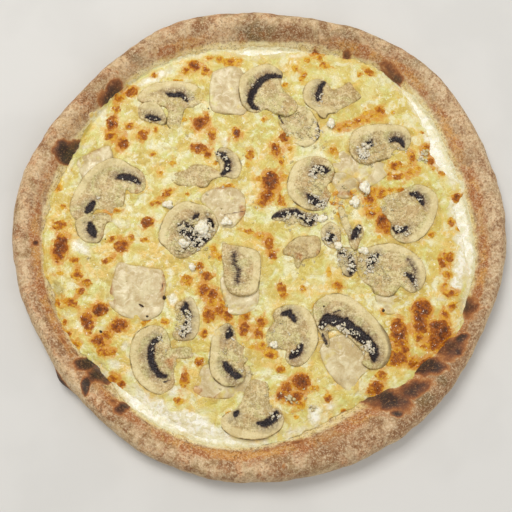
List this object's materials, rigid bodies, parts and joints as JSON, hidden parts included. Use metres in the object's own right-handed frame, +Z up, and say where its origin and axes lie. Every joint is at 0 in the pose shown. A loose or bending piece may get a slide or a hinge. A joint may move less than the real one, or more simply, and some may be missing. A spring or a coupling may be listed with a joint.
{
  "type": "mushroom pizza",
  "caption": "Round pizza with a puffed, browned rim, white cream base, melted cheese, mushroom slices, pale chicken slices and crumbled hard cheese.",
  "frame": {"origin": "centre of the underside, at the middle of the pizza's width and depth", "axes": "+Z up out of the topping; the underside is flat at z = 0; seen from above +X is to the right and +Y away"},
  "size_m": [0.2998, 0.291, 0.0233],
  "materials": {
    "baked_dough": "floury matt baked crust, tan with brown and near-black char spots",
    "cream": "wet glossy white cream",
    "melted_cheese": "glossy melted pale yellow cheese with orange to red-brown blisters",
    "mushroom": "moist beige mushroom flesh, thin brown skin line, near-black gills",
    "chicken": "smooth pale beige cooked chicken",
    "hard_cheese": "crumbly off-white hard cheese"
  },
  "bodies": {
    "root": {"cheese": "melted_cheese", "cheese_crumb_01": "hard_cheese", "cheese_crumb_02": "hard_cheese", "cheese_crumb_03": "hard_cheese", "cheese_crumb_04": "hard_cheese", "cheese_crumb_05": "hard_cheese", "cheese_crumb_06": "hard_cheese", "cheese_crumb_07": "hard_cheese", "cheese_crumb_08": "hard_cheese", "cheese_crumb_09": "hard_cheese", "cheese_crumb_10": "hard_cheese", "cheese_crumb_11": "hard_cheese", "cheese_crumb_12": "hard_cheese", "chicken_01": "chicken", "chicken_02": "chicken", "chicken_03": "chicken", "chicken_04": "chicken", "chicken_05": "chicken", "chicken_06": "chicken", "chicken_07": "chicken", "chicken_08": "chicken", "chicken_09": "chicken", "chicken_10": "chicken", "cream_sauce": "cream", "crust": "baked_dough", "mushroom_01": "mushroom", "mushroom_02": "mushroom", "mushroom_03": "mushroom", "mushroom_04": "mushroom", "mushroom_05": "mushroom", "mushroom_06": "mushroom", "mushroom_07": "mushroom", "mushroom_08": "mushroom", "mushroom_09": "mushroom", "mushroom_10": "mushroom", "mushroom_11": "mushroom", "mushroom_12": "mushroom", "mushroom_13": "mushroom", "mushroom_14": "mushroom", "mushroom_15": "mushroom", "mushroom_16": "mushroom", "mushroom_17": "mushroom", "mushroom_18": "mushroom", "mushroom_19": "mushroom", "mushroom_20": "mushroom", "mushroom_21": "mushroom", "mushroom_22": "mushroom", "mushroom_23": "mushroom", "mushroom_24": "mushroom", "mushroom_25": "mushroom"}
  },
  "joints": []
}
